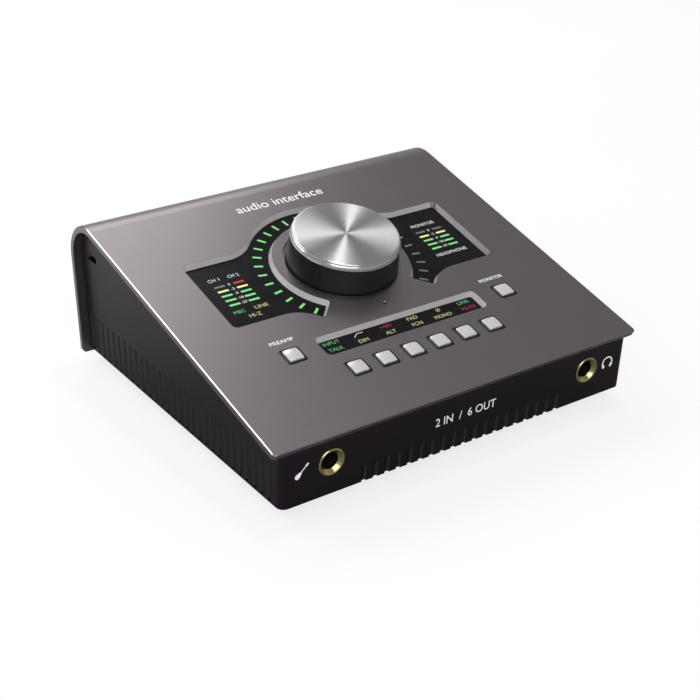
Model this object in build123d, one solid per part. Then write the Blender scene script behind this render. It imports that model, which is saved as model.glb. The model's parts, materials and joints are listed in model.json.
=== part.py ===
from build123d import *
import os
from math import cos, sin, tan, radians, sqrt

# A desktop audio interface: a bent aluminium cover over a black chassis, with a level knob,
# eight buttons and smoked display windows on the sloping panel, two jacks in front and the
# other connectors in the rear wall. Millimetres and degrees. +X right, +Y back, +Z up, and
# the origin is on the floor under the middle of the object.

# ---------------------------------------------------------------- driving dimensions
WIDTH = 160.2  # over the cover
DEPTH = 148.8  # front edge of the cover to the back of its bend
FRONT_TOP = 29.3  # height of the cover's front edge
SLOPE = 13.92  # of the panel
BEND_RADIUS = 15.6  # outside of the cover's bend
REAR_LEAN = 1.68  # the rear wall leans forward on its way down
SHEET = 2.5  # thickness of the cover
COVER_CLEAR = 4.0  # floor to the lower edge of the rear wall
EDGE_CHAMFER = 0.4
FRONT_UNDERCUT = 0.7  # the cover's front face falls back under the panel

CHASSIS_BASE = 5.7  # floor to the lower edge of the chassis walls
CHASSIS_WIDTH = 153.4
CHASSIS_WALL = 2.0
CHASSIS_GAP = 0.1  # between the chassis walls and the cover
CHASSIS_CORNER = 3.0
FRONT_SETBACK = 2.4  # cover's front edge to the foot of the front wall
FRONT_RAKE = 3.08  # the front wall leans forward on its way up
FLANGE = 8.0  # width of the in-turned flanges and lugs
SLOT_WIDTH = 1.8
FRONT_SLOTS, FRONT_SLOT_PITCH, FRONT_SLOT_HEIGHT = 19, 4.82, 6.8
SIDE_SLOTS, SIDE_SLOT_PITCH, SIDE_SLOT_HEIGHT = 29, 4.714, 15.9
SIDE_SLOT_START = -64.7
SIDE_SLOT_WEB = 0.8  # left under the side slots, while the front slots run out at the edge
LOCK_SLOT = (7.0, 2.6)
LOCK_SLOT_AT = (62.3, 47.3)  # y and z on the left wall

KNOB_S = 81.5  # knob's axis, up the slope from the front edge
KNOB_TOP = 12.6  # above the panel
KNOB_CAP_RIM = ((20.2, 0), (20.55, 0.25), (20.7, 0.7), (20.64, 0.8), (20.85, 0.95), (21.25, 2.5))
KNOB_CAP_DEPTH = 2.5  # the rim's points are radius and depth below the top
KNOB_SKIRT_RADIUS = 22.0
KNOB_RECESS = (22.8, 0.9)  # radius and depth in the panel
KNOB_PUSH = 0.5

WINDOW_DEPTH = 2.0  # panel's surface down to the lens
WALL_TAPER = 27.0  # of the window walls
RING_RADIUS = 32.2
RING_OUTER, RING_INNER = 37.0, 26.8
RING_FIRST, RING_LAST, RING_STEP = 220, -40, -10
RING_LIT_TO = 90  # the level shown
RING_END = 7.3  # the window runs this much past the last segment
METER_HALF_WIDTH = 58.9
METER_HALF_HEIGHT = 19.85
BLEND_RADIUS = 15.3  # between the ring window and the meter windows
CORNER_RADIUS = 2.2
TIP_RADIUS = 1.4  # at the ends of the ring window
RING_BAR = (3.5, 1.0)
METER_BAR = (4.5, 1.0)
METER_COLUMNS = (-50.2, -42.1, 42.1, 50.2)
METER_PITCH = 2.83
STRIP_HALF_WIDTH, STRIP_LOW, STRIP_HIGH = 36.1, 35.3, 45.7

BUTTON_HOLE, BUTTON_HOLE_RADIUS = 8.1, 1.0
BUTTON_RIM, BUTTON_CAP = 7.8, 5.8
BUTTON_RIM_PROUD, BUTTON_PROUD = 0.15, 1.0
BUTTON_TRAVEL = 0.5
BUTTON_ROW_S, BUTTON_PITCH = 25.9, 12.0
SIDE_BUTTON_X, SIDE_BUTTON_S = 47.6, 40.6
MIC_S = 52.8
MIC_HOLE, MIC_MOUTH = 0.6, 0.9  # radius of the hole and of its countersink

JACK_X, JACK_Z = 57.1, 18.6
JACK_BORE = 3.25  # radius of a 6.35 mm jack's hole

BOARD = 1.6
CONTROL_BOARD_H = -9.5  # top face, below the panel's surface
MAIN_BOARD_Z = 11.4
MAIN_BOARD_BACK = 43.0
PLATE_Z, PLATE = 4.6, 1.2
REAR_MID = 26.0  # height of the rear connectors' middle line
REAR_BODY = 24.0  # depth of the rear connectors behind the wall

# ---------------------------------------------------------------- side view and frames
slope, lean, rake = radians(SLOPE), radians(REAR_LEAN), radians(FRONT_RAKE)


def panel_yz(s, h):
    """Side-view point s up the slope and h above the panel."""
    y = -DEPTH / 2 + s * cos(slope) - h * sin(slope)
    return y, FRONT_TOP + s * sin(slope) + h * cos(slope)


BEND_Y = DEPTH / 2 - BEND_RADIUS
BEND_S = (BEND_Y - BEND_RADIUS * sin(slope) + DEPTH / 2) / cos(slope)
BEND_Z = panel_yz(BEND_S, -BEND_RADIUS)[1]


def bend_yz(radius, angle):
    return BEND_Y + radius * cos(angle), BEND_Z + radius * sin(angle)


def rear_yz(z, radius=BEND_RADIUS):
    """Point at height z on the rear wall's face that starts at this radius of the bend."""
    y, top = bend_yz(radius, -lean)
    return y - (top - z) * tan(lean), z


def front_yz(z, inset=0.0):
    """Point at height z on the front wall, inset from its outer face."""
    y = -DEPTH / 2 + FRONT_SETBACK - (z - CHASSIS_BASE) * tan(rake)
    return y + inset / cos(rake), z


PANEL = Plane(origin=(0, *panel_yz(0, 0)), x_dir=(1, 0, 0), z_dir=(0, -sin(slope), cos(slope)))
FRONT = Plane(origin=(0, *front_yz(JACK_Z)), x_dir=(1, 0, 0), z_dir=(0, -cos(rake), -sin(rake)))
REAR = Plane(origin=(0, *rear_yz(REAR_MID)), x_dir=(-1, 0, 0), z_dir=(0, cos(lean), -sin(lean)))
KNOB = Plane(origin=(0, *panel_yz(KNOB_S, 0)), x_dir=(1, 0, 0), z_dir=PANEL.z_dir)
FLOOR = Plane.XY
UNDER = Plane(origin=(0, 0, 0), x_dir=(1, 0, 0), z_dir=(0, 0, -1))  # looks up, so y is mirrored
OUTWARD = Axis((0, 0, 0), PANEL.z_dir)

# ---------------------------------------------------------------- shape helpers


def block(frame, x, y, z):
    """Box between pairs of limits in a frame."""
    middle = [(low + high) / 2 for low, high in (x, y, z)]
    return frame * Pos(*middle) * Box(x[1] - x[0], y[1] - y[0], z[1] - z[0])


def rod(frame, x, y, radius, low, high):
    return frame * Pos(x, y, (low + high) / 2) * Cylinder(radius, high - low)


def tube(frame, x, y, outer, inner, low, high):
    return rod(frame, x, y, outer, low, high) - rod(frame, x, y, inner, low, high)


def prism(frame, face, low, high):
    return extrude(frame * Pos(0, 0, low) * face, high - low)


def plate(frame, x, y, width, height, corner, low, high):
    return prism(frame, Pos(x, y) * RectangleRounded(width, height, corner), low, high)


def turned(frame, x, y, points):
    """Body of revolution about the frame's z, from (radius, height) points."""
    profile = Plane.XZ * make_face(Polyline(*points, close=True))
    return frame * Pos(x, y, 0) * revolve(profile, Axis.Z)


def hexagon(frame, x, y, across, low, high):
    return prism(frame, Pos(x, y) * RegularPolygon(across / sqrt(3), 6), low, high)


def pan_screw(frame, x, y, seat, length, radius):
    """Pan-head screw that is driven along the frame's +z, with its head below the seat."""
    head = rod(frame, x, y, radius * 1.9, seat - radius * 1.3, seat)
    socket = hexagon(frame, x, y, radius * 1.6, seat - radius * 1.3, seat - radius * 0.5)
    return head + rod(frame, x, y, radius, seat, seat + length) - socket


def flush_screw(frame, x, y, face, length, radius):
    """Countersunk screw that is driven along the frame's -z, flush with the face."""
    points = ((0, face), (radius * 1.9, face), (radius, face - radius * 0.9), (radius, face - length))
    screw = turned(frame, x, y, (*points, (0, face - length)))
    return screw - hexagon(frame, x, y, radius * 1.3, face - radius * 0.8, face)


def flush_hole(frame, x, y, face, length, radius):
    """Hole for that screw, with a clearance all round."""
    wide, narrow = radius * 1.9 + 0.05, radius + 0.1
    points = ((0, face + 1), (wide, face + 1), (wide, face), (narrow, face - radius * 0.9 - 0.05))
    return turned(frame, x, y, (*points, (narrow, face - length), (0, face - length)))


def group(shapes):
    """One node of separate solids."""
    return Compound([solid for shape in shapes for solid in shape.solids()])


def union(shapes):
    shapes = list(shapes)
    return shapes[0] + shapes[1:]


# ---------------------------------------------------------------- display windows


def ring_point(radius, angle):
    return radius * cos(radians(angle)), radius * sin(radians(angle))


def window_face(grow=0.0):
    """Outline of the ring and meter windows about the knob's axis, offset outwards."""
    outer, inner = RING_OUTER + grow, RING_INNER - grow
    wide, high = METER_HALF_WIDTH + grow, METER_HALF_HEIGHT + grow
    corner, blend = CORNER_RADIUS + grow, BLEND_RADIUS - grow
    blend_x = sqrt((outer + blend) ** 2 - (high + blend) ** 2)
    meet = Vector(blend_x, high + blend) * (outer / (outer + blend))
    end = RING_LAST - RING_END
    along, past = Vector(*ring_point(1, end)), Vector(*ring_point(1, end - 90))
    outer_tip = along * sqrt(outer**2 - grow**2) + past * grow
    inner_tip = along * sqrt(inner**2 - grow**2) + past * grow

    def blend_arc(sign):
        centre = Vector(blend_x, sign * (high + blend))
        start, stop = Vector(meet.X, sign * meet.Y), Vector(blend_x, sign * high)
        middle = centre + ((start + stop) * 0.5 - centre).normalized() * blend
        return ThreePointArc(start, middle, stop)

    cut = corner * (1 - sqrt(0.5))
    low_meet = Vector(meet.X, -meet.Y)
    right = [
        blend_arc(1),
        Line((blend_x, high), (wide - corner, high)),
        ThreePointArc((wide - corner, high), (wide - cut, high - cut), (wide, high - corner)),
        Line((wide, high - corner), (wide, corner - high)),
        ThreePointArc((wide, corner - high), (wide - cut, cut - high), (wide - corner, -high)),
        Line((wide - corner, -high), (blend_x, -high)),
        blend_arc(-1),
        ThreePointArc(low_meet, (outer_tip + low_meet).normalized() * outer, outer_tip),
        Line(outer_tip, inner_tip),
    ]
    left = [mirror(edge, Plane.YZ) for edge in right]
    crown = ThreePointArc((-meet.X, meet.Y), (0, outer), (meet.X, meet.Y))
    island = ThreePointArc((-inner_tip.X, inner_tip.Y), (0, inner), (inner_tip.X, inner_tip.Y))
    face = make_face([*right, *left, crown, island])
    tips = [v for v in face.vertices() for tip in (outer_tip, inner_tip) if is_tip(v, tip)]
    return fillet(tips, max(0.15, TIP_RADIUS + grow))


def is_tip(vertex, tip):
    return abs(abs(vertex.X) - tip.X) < 0.01 and abs(vertex.Y - tip.Y) < 0.01


def strip_face(grow=0.0):
    width = 2 * (STRIP_HALF_WIDTH + grow)
    height = STRIP_HIGH - STRIP_LOW + 2 * grow
    middle = (STRIP_HIGH + STRIP_LOW) / 2
    return Pos(0, middle) * RectangleRounded(width, height, CORNER_RADIUS + grow)


WALL_INSET = SHEET * tan(radians(WALL_TAPER))  # the walls close in by this much
LENS_FLANGE = 2.4  # the lens reaches this much past the hole behind the cover
LENS_BACK = SHEET + 1.5
LENS_FIT = 0.05


def window_cut(frame, face_at):
    """Hole with slanting walls, from above the panel to below the sheet."""
    past = 0.2
    step = past * tan(radians(WALL_TAPER))
    top, foot = face_at(step), face_at(-WALL_INSET - step)
    return loft([frame * Pos(0, 0, past) * top, frame * Pos(0, 0, -SHEET - past) * foot], ruled=True)


def lens(frame, face_at):
    """Smoked plate behind the sheet, with a raised part that fills the foot of the hole."""
    inset = WINDOW_DEPTH * tan(radians(WALL_TAPER))
    raised = loft(
        [
            frame * Pos(0, 0, -WINDOW_DEPTH) * face_at(-inset - LENS_FIT),
            frame * Pos(0, 0, -SHEET) * face_at(-WALL_INSET - LENS_FIT),
        ],
        ruled=True,
    )
    return raised + prism(frame, face_at(LENS_FLANGE - WALL_INSET), -LENS_BACK, -SHEET)


# ---------------------------------------------------------------- light guides


def ring_bar(angle):
    length, width = RING_BAR
    return Rot(0, 0, angle) * Pos(RING_RADIUS, 0) * RectangleRounded(length, width, 0.15)


def meter_bar(x, row):
    return Pos(x, row * METER_PITCH) * RectangleRounded(*METER_BAR, 0.15)


def bar_colour(x, row):
    """Rows run from -2, the lowest, to +2, the peak light."""
    if row == 2:
        return "red" if x == METER_COLUMNS[1] else "unlit"
    return "yellow" if row == 1 else "green"


GUIDE_TOP, GUIDE_FOOT = -WINDOW_DEPTH + 0.03, CONTROL_BOARD_H + 0.9
bars = {"green": [], "yellow": [], "red": [], "unlit": []}
for angle in range(RING_FIRST, RING_LAST + RING_STEP, RING_STEP):
    bars["green" if angle >= RING_LIT_TO else "unlit"].append(ring_bar(angle))
for column in METER_COLUMNS:
    for row in range(-2, 3):
        bars[bar_colour(column, row)].append(meter_bar(column, row))
guides = {key: group(prism(KNOB, f, GUIDE_FOOT, GUIDE_TOP) for f in faces) for key, faces in bars.items()}
every_bar = [face for faces in bars.values() for face in faces]
guide_holes = group(prism(KNOB, face, GUIDE_FOOT - 0.5, GUIDE_TOP + 0.5) for face in every_bar)

# ---------------------------------------------------------------- buttons

button_places = {f"select_{i + 1}": ((i - 2.5) * BUTTON_PITCH, BUTTON_ROW_S) for i in range(6)}
button_places["preamp"] = (-SIDE_BUTTON_X, SIDE_BUTTON_S)
button_places["monitor"] = (SIDE_BUTTON_X, SIDE_BUTTON_S)
SEAT_DEPTH = 0.5  # of the cap in the plunger
FLANGE_TOP = -SHEET - 0.2
SWITCH_TOP = CONTROL_BOARD_H + 3.6
GUIDE_BAND = (-5.4, -4.6)


def button_plunger(x, s):
    """Dark body: rim, seat for the cap, stop flange under the sheet and stem."""
    rim = plate(PANEL, x, s, BUTTON_RIM, BUTTON_RIM, 0.8, FLANGE_TOP - 0.5, BUTTON_RIM_PROUD)
    rim = chamfer(rim.faces().sort_by(OUTWARD)[-1].edges(), 0.3)
    seat = plate(PANEL, x, s, BUTTON_CAP + 0.04, BUTTON_CAP + 0.04, 0.5, -SEAT_DEPTH, 1)
    stop = plate(PANEL, x, s, BUTTON_HOLE + 1.1, BUTTON_HOLE + 1.1, 0.8, FLANGE_TOP - 1, FLANGE_TOP)
    return rim - seat + stop + rod(PANEL, x, s, 1.5, SWITCH_TOP - 0.5, FLANGE_TOP - 0.5)


def button_cap(x, s):
    """Silver cap with a low dome and a broken edge."""
    dome_radius = 22.0
    body = plate(PANEL, x, s, BUTTON_CAP, BUTTON_CAP, 0.5, -SEAT_DEPTH, BUTTON_PROUD)
    body &= PANEL * Pos(x, s, BUTTON_PROUD - dome_radius) * Sphere(dome_radius)
    return fillet(body.faces().sort_by(OUTWARD)[-1].edges(), 0.15)


# ---------------------------------------------------------------- cover

wall_screws = [(71.5, -14.0), (-67.0, -14.0)]
combo_places = (56.0, 25.0)
combo_screws = [(a + 9.5 * k, 12.0 * k) for a in combo_places for k in (-1, 1)]
rear_screw_places = wall_screws + combo_screws
line_places = [(a, v) for a in (-1.0, -18.0) for v in (-8.0, 8.5)]
OPTICAL = (-35.0, -8.0)
PORT = (-35.0, 9.0)
INLET = (-52.0, -8.0)
POWER = (-52.0, 9.0)
cover_screw_places = [(x, s) for x in (-70.6, 70.6) for s in (22.0, 112.0)]


def cover_shell():
    outer_rear = rear_yz(COVER_CLEAR)
    inner = BEND_RADIUS - SHEET
    inner_rear = rear_yz(COVER_CLEAR, inner)
    quarter = (radians(90) + slope - lean) / 2
    face = make_face(
        [
            Line(panel_yz(0, 0), panel_yz(BEND_S, 0)),
            ThreePointArc(panel_yz(BEND_S, 0), bend_yz(BEND_RADIUS, quarter), bend_yz(BEND_RADIUS, -lean)),
            Line(bend_yz(BEND_RADIUS, -lean), outer_rear),
            Line(outer_rear, inner_rear),
            Line(inner_rear, bend_yz(inner, -lean)),
            ThreePointArc(bend_yz(inner, -lean), bend_yz(inner, quarter), panel_yz(BEND_S, -SHEET)),
            Line(panel_yz(BEND_S, -SHEET), panel_yz(FRONT_UNDERCUT, -SHEET)),
            Line(panel_yz(FRONT_UNDERCUT, -SHEET), panel_yz(0, 0)),
        ]
    )
    shell = extrude(Plane.YZ * face, WIDTH / 2, both=True)
    ends = [e for e in shell.edges() if abs(abs(e.center().X) - WIDTH / 2) < 0.01 and e.length < SHEET * 1.2]
    shell = fillet(ends, 1.6)

    def on_skin(edge):
        for t in (0, 0.3, 0.5, 0.7, 1):
            p = edge @ t
            panel_h = PANEL.to_local_coords(p).Z
            wall_h = REAR.to_local_coords(p).Z
            bend_h = sqrt((p.Y - BEND_Y) ** 2 + (p.Z - BEND_Z) ** 2) - BEND_RADIUS
            if min(abs(panel_h), abs(wall_h), abs(bend_h)) > 0.01:
                return False
        return True

    def is_seam(edge):
        middle = edge.center()
        low = abs(middle.Z - outer_rear[1]) < 1
        return abs(middle.X) < 1 and middle.Y > 0 and not low

    rim = [e for e in shell.edges() if on_skin(e) and not is_seam(e)]
    return chamfer(rim, EDGE_CHAMFER)


def cover():
    shell = cover_shell()
    shell -= window_cut(KNOB, window_face)
    shell -= window_cut(PANEL, strip_face)
    shell -= rod(KNOB, 0, 0, KNOB_RECESS[0], -KNOB_RECESS[1], 1)
    shell -= rod(KNOB, 0, 0, 3.6, -SHEET - 1, 1)
    mouth = ((0, 0.5), (MIC_MOUTH + 0.5, 0.5), (MIC_HOLE, MIC_HOLE - MIC_MOUTH), (MIC_HOLE, -SHEET - 1))
    shell -= turned(PANEL, 0, MIC_S, (*mouth, (0, -SHEET - 1)))
    for x, s in button_places.values():
        shell -= plate(PANEL, x, s, BUTTON_HOLE, BUTTON_HOLE, BUTTON_HOLE_RADIUS, -SHEET - 1, 1)
    for x, s in cover_screw_places:
        shell -= rod(PANEL, x, s, 1.3, -SHEET - 1, -0.9)
    for a in combo_places:
        shell -= rod(REAR, a, 0, 11.9, -SHEET - 1, 1)
    for a, v in line_places:
        shell -= rod(REAR, a, v, 4.9, -SHEET - 1, 1)
    shell -= plate(REAR, *OPTICAL, 11.0, 10.4, 1.0, -SHEET - 1, 1)
    shell -= plate(REAR, *PORT, 9.8, 4.0, 1.9, -SHEET - 1, 1)
    shell -= rod(REAR, *INLET, 6.1, -SHEET - 1, 1)
    shell -= plate(REAR, *POWER, 15.2, 11.2, 1.0, -SHEET - 1, 1)
    for a, v in rear_screw_places:
        shell -= flush_hole(REAR, a, v, 0, SHEET + 1, 1.25)
    return shell


# ---------------------------------------------------------------- chassis
INSIDE = CHASSIS_WIDTH / 2 - CHASSIS_WALL  # half width between the side walls
board_places = [(x, y) for x in (-58.0, 58.0) for y in (-38.0, 34.0)] + [(-20.0, 32.0), (20.0, -50.0)]
foot_places = [(x, y) for x in (-60.0, 60.0) for y in (-57.0, 56.0)]
lug_places = [(side * (INSIDE - FLANGE / 2), y) for side in (-1, 1) for y in (-50.0, 0.0, 50.0)]
LUG_TOP = PLATE_Z + PLATE + 3.8


def chassis_walls():
    gap = SHEET + CHASSIS_GAP
    inner = BEND_RADIUS - gap
    drop = FRONT_SETBACK - gap * sin(slope) - (FRONT_TOP - gap * cos(slope) - CHASSIS_BASE) * tan(rake)
    top_front = panel_yz(drop / (cos(slope) + sin(slope) * tan(rake)), -gap)
    quarter = (radians(90) + slope - lean) / 2
    low_rear, low_front = rear_yz(CHASSIS_BASE, inner), front_yz(CHASSIS_BASE)
    face = make_face(
        [
            Line(low_front, top_front),
            Line(top_front, panel_yz(BEND_S, -gap)),
            ThreePointArc(panel_yz(BEND_S, -gap), bend_yz(inner, quarter), bend_yz(inner, -lean)),
            Line(bend_yz(inner, -lean), low_rear),
            Line(low_rear, low_front),
        ]
    )
    walls = extrude(Plane.YZ * face, CHASSIS_WIDTH / 2, both=True)
    corners = [
        e for e in walls.edges() if e.center().Y < 3 - DEPTH / 2 and abs(e.center().X) > 70 and e.length > 10
    ]
    corners = [e for e in corners if abs((e @ 1 - e @ 0).Z) > 10]
    walls = fillet(corners, CHASSIS_CORNER)
    high, back = 80.0, DEPTH / 2 + 10
    hollow = Polyline(
        front_yz(0, CHASSIS_WALL), front_yz(high, CHASSIS_WALL), (back, high), (back, 0), close=True
    )
    walls -= extrude(Plane.YZ * make_face(hollow), INSIDE, both=True)
    for side in (-1, 1):
        x = sorted((side * (INSIDE - FLANGE), side * (INSIDE + 0.5)))
        walls += block(PANEL, x, (8, BEND_S - 4), (-gap - 2, -gap))
    for x, y in lug_places:
        edge = sorted((x - FLANGE / 2 * (1 if x > 0 else -1), (INSIDE + 0.5) * (1 if x > 0 else -1)))
        walls += block(FLOOR, edge, (y - 4, y + 4), (PLATE_Z + PLATE, LUG_TOP))
        walls -= rod(FLOOR, x, y, 1.35, PLATE_Z, LUG_TOP + 1)
    for x, s in cover_screw_places:
        walls -= rod(PANEL, x, s, 1.4, -gap - 3, 0)
    for i in range(FRONT_SLOTS):
        x = (i - (FRONT_SLOTS - 1) / 2) * FRONT_SLOT_PITCH
        y = front_yz(CHASSIS_BASE)[0]
        walls -= block(
            FLOOR, (x - SLOT_WIDTH / 2, x + SLOT_WIDTH / 2), (y - 2, y + CHASSIS_WALL + 1),
            (CHASSIS_BASE - 1, CHASSIS_BASE + FRONT_SLOT_HEIGHT),
        )
    for i in range(SIDE_SLOTS):
        y = SIDE_SLOT_START + i * SIDE_SLOT_PITCH
        for side in (-1, 1):
            x = sorted((side * INSIDE, side * (INSIDE + CHASSIS_WALL + 1)))
            walls -= block(
                FLOOR, x, (y - SLOT_WIDTH / 2, y + SLOT_WIDTH / 2),
                (CHASSIS_BASE + SIDE_SLOT_WEB, CHASSIS_BASE + SIDE_SLOT_HEIGHT),
            )
    for side in (-1, 1):
        walls -= rod(FRONT, side * JACK_X, 0, 4.85, -CHASSIS_WALL - 1, 1)
    walls -= lock_slot(INSIDE - 1, INSIDE + CHASSIS_WALL + 1)
    return walls


def lock_slot(low, high):
    y, z = LOCK_SLOT_AT
    face = Plane.YZ.offset(-high) * Pos(y, z) * RectangleRounded(*LOCK_SLOT, 0.9)
    return extrude(face, high - low)


def bottom_plate():
    fit = 0.15
    front = front_yz(PLATE_Z, CHASSIS_WALL)[0] + fit
    back = rear_yz(PLATE_Z, BEND_RADIUS - SHEET)[0] - fit
    sheet = block(FLOOR, (fit - INSIDE, INSIDE - fit), (front, back), (PLATE_Z, PLATE_Z + PLATE))
    for (a, v), width in zip(wall_screws, (5.0, 8.0)):
        tab = block(
            REAR, (a - width / 2, a + width / 2), (v - 8, v + 4), (-SHEET - 0.1 - PLATE, -SHEET - 0.1)
        )
        tab &= block(FLOOR, (-WIDTH, WIDTH), (0, back + 5), (PLATE_Z, 40))
        sheet += tab
        sheet -= rod(REAR, a, v, 1.3, -SHEET - 3, -SHEET)
    for x, y in lug_places:
        sheet -= flush_hole(UNDER, x, -y, -PLATE_Z, PLATE + 1, 1.25)
    for x, y in board_places:
        sheet -= rod(FLOOR, x, y, 1.6, PLATE_Z - 1, PLATE_Z + PLATE + 1)
    return sheet


def rubber_foot(x, y):
    points = ((0, 0), (5.2, 0), (5.8, 0.6), (6.6, PLATE_Z), (0, PLATE_Z))
    return turned(FLOOR, x, y, points)


# ---------------------------------------------------------------- knob and encoder


def knob_cap():
    """Spun aluminium cap with a bevelled edge over a tapered band."""
    rim = [(radius, KNOB_TOP - depth) for radius, depth in KNOB_CAP_RIM]
    return turned(KNOB, 0, 0, ((0, KNOB_TOP), *rim, (0, KNOB_TOP - KNOB_CAP_DEPTH)))


def knob_skirt():
    """Black body under the cap, hollow, with a hub for the shaft."""
    top, foot = KNOB_TOP - KNOB_CAP_DEPTH, -0.3
    neck = KNOB_CAP_RIM[-1][0] - 0.7
    outside = (
        (0, top), (neck - 0.2, top), (neck - 0.2, top - 0.3), (neck + 0.3, top - 0.6),
        (KNOB_SKIRT_RADIUS - 0.1, foot + 0.4), (KNOB_SKIRT_RADIUS - 0.3, foot),
    )
    inside = (
        (KNOB_SKIRT_RADIUS - 2.2, foot), (neck - 2.0, top - 2.0), (5.5, top - 2.0), (5.5, 4.6),
        (3.02, 4.6), (3.02, top - 0.6), (0, top - 0.6),
    )
    return turned(KNOB, 0, 0, outside + inside)


BUSH_TOP = 4.0
ROTOR_BAND = (-6.6, -5.0)


def encoder_body():
    low = CONTROL_BOARD_H
    body = plate(KNOB, 0, 0, 14.0, 13.2, 0.6, low, -SHEET - 0.1)
    body += rod(KNOB, 0, 0, 3.5, -SHEET - 0.1, BUSH_TOP)
    body -= rod(KNOB, 0, 0, 3.05, low + 0.8, BUSH_TOP + 1)
    body -= rod(KNOB, 0, 0, 5.6, ROTOR_BAND[0] - 0.1, ROTOR_BAND[1] + 0.1)
    return body


def encoder_shaft():
    top = KNOB_TOP - KNOB_CAP_DEPTH - 0.6
    foot = CONTROL_BOARD_H + 0.8 + KNOB_PUSH + 0.2
    return rod(KNOB, 0, 0, 3.0, foot, top)


def encoder_nut():
    floor = -KNOB_RECESS[1]
    washer = tube(KNOB, 0, 0, 6.0, 3.6, floor, floor + 0.5)
    nut = hexagon(KNOB, 0, 0, 10.0, floor + 0.5, floor + 2.6) - rod(KNOB, 0, 0, 3.55, -2, 3)
    return group([washer, nut])


# ---------------------------------------------------------------- parts on the control board
HEADER = 2.6
CABLE_S, CABLE_Y = 97.0, 27.0
MAIN_TOP = MAIN_BOARD_Z + BOARD
HEADER_TOP = MAIN_TOP + HEADER
control_pillars = [(x, s) for x, s in ((-60, 38), (60, 38), (-60, 108), (60, 108), (-40.5, 22), (40.5, 22))]


def control_board():
    low, high = CONTROL_BOARD_H - BOARD, CONTROL_BOARD_H
    board = plate(PANEL, 0, 74, 128, 80, 2, low, high) + plate(PANEL, 0, 28, 88, 20, 2, low, high)
    for x, s in control_pillars:
        board -= rod(PANEL, x, s, 1.3, low - 1, high + 1)
    return board


def light_baffle():
    """Black body behind the lens that holds the light guides apart."""
    body = prism(KNOB, window_face(-WALL_INSET), GUIDE_FOOT, -LENS_BACK)
    return body - guide_holes


def strip_baffle():
    """Twelve wells behind the legends of the lower window."""
    body = prism(PANEL, strip_face(-WALL_INSET), CONTROL_BOARD_H, -LENS_BACK)
    middle = (STRIP_HIGH + STRIP_LOW) / 2
    for i in range(6):
        for row in (-1, 1):
            well = Pos((i - 2.5) * BUTTON_PITCH, middle + row * 1.85) * RectangleRounded(9.0, 2.8, 0.4)
            body -= prism(PANEL, well, CONTROL_BOARD_H - 1, -LENS_BACK + 1)
    return body


def tact_switch(x, s):
    base = block(PANEL, (x - 3, x + 3), (s - 3, s + 3), (CONTROL_BOARD_H, SWITCH_TOP))
    return base - rod(PANEL, x, s, 1.6, SWITCH_TOP - BUTTON_TRAVEL - 1, SWITCH_TOP + 1)


def button_guides():
    """Plates that the plungers' stems run in, on legs that stand on the control board."""
    low, high = GUIDE_BAND
    row = plate(PANEL, 0, BUTTON_ROW_S, 74, 9, 1, low, high)
    for x in (-24, -12, 0, 12, 24):
        row += block(PANEL, (x - 1, x + 1), (BUTTON_ROW_S - 3, BUTTON_ROW_S + 3), (CONTROL_BOARD_H, low))
    sides = []
    for side in (-1, 1):
        x = side * SIDE_BUTTON_X
        single = plate(PANEL, x, SIDE_BUTTON_S, 12, 9, 1, low, high)
        for edge in (-5, 5):
            leg = (x + edge - 0.8, x + edge + 0.8)
            single += block(PANEL, leg, (SIDE_BUTTON_S - 3, SIDE_BUTTON_S + 3), (CONTROL_BOARD_H, low))
        sides.append(single)
    shapes = group([row, *sides])
    for x, s in button_places.values():
        shapes = group([solid - rod(PANEL, x, s, 1.55, low - 1, high + 1) for solid in shapes.solids()])
    return shapes


def mic_boot():
    outer = rod(PANEL, 0, MIC_S, 4.0, -7.0, -SHEET)
    return outer - rod(PANEL, 0, MIC_S, 3.0, -6.4, -SHEET - 0.7) - rod(PANEL, 0, MIC_S, MIC_HOLE, -4, 0)


def flat_cable():
    """Flat ribbon between the control board's and the main board's headers."""
    y, z = panel_yz(CABLE_S, CONTROL_BOARD_H - BOARD - HEADER)
    path = FilletPolyline((y, z), (y + 1.2, z - 6), (y + 6, z - 14), (CABLE_Y, HEADER_TOP), radius=4)
    ribbon = extrude(Plane.YZ * trace(path, 0.3), 10, both=True)
    return ribbon & block(FLOOR, (-20, 20), (-20, 60), (HEADER_TOP, z - 0.3))


def cable_headers():
    low = CONTROL_BOARD_H - BOARD
    upper = block(PANEL, (-12, 12), (CABLE_S - 2.5, CABLE_S + 2.5), (low - HEADER, low))
    lower = block(FLOOR, (-12, 12), (CABLE_Y - 2.5, CABLE_Y + 2.5), (MAIN_TOP, HEADER_TOP))
    return group([upper, lower])


# ---------------------------------------------------------------- main board


def main_board():
    front = front_yz(MAIN_BOARD_Z, CHASSIS_WALL)[0] + 1.5
    board = block(FLOOR, (-65, 65), (front, MAIN_BOARD_BACK), (MAIN_BOARD_Z, MAIN_TOP))
    for x, y in board_places:
        board -= rod(FLOOR, x, y, 1.6, 0, 40)
    return board


PROCESSORS = [(-13, -12), (13, -12)]
CONVERTERS = [(-45, 6), (-30, 18), (-8, 14), (45, -22), (32, -42)]
RELAYS = [(-58, 6), (-58, 20), (-45, 20), (56, -30)]


def heat_sink():
    base = block(FLOOR, (-26, 26), (-30, 6), (MAIN_TOP + 1.5, MAIN_TOP + 4.0))
    fin_z = (MAIN_TOP + 3.5, MAIN_TOP + 11.5)
    fins = [block(FLOOR, (x - 0.6, x + 0.6), (-30, 6), fin_z) for x in range(-25, 26, 5)]
    return union([base, *fins])


def box_parts(places, size, foot=MAIN_TOP):
    """Like components that stand on the main board."""
    dx, dy, dz = size
    return group(block(FLOOR, (x - dx, x + dx), (y - dy, y + dy), (foot, foot + dz)) for x, y in places)


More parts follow.
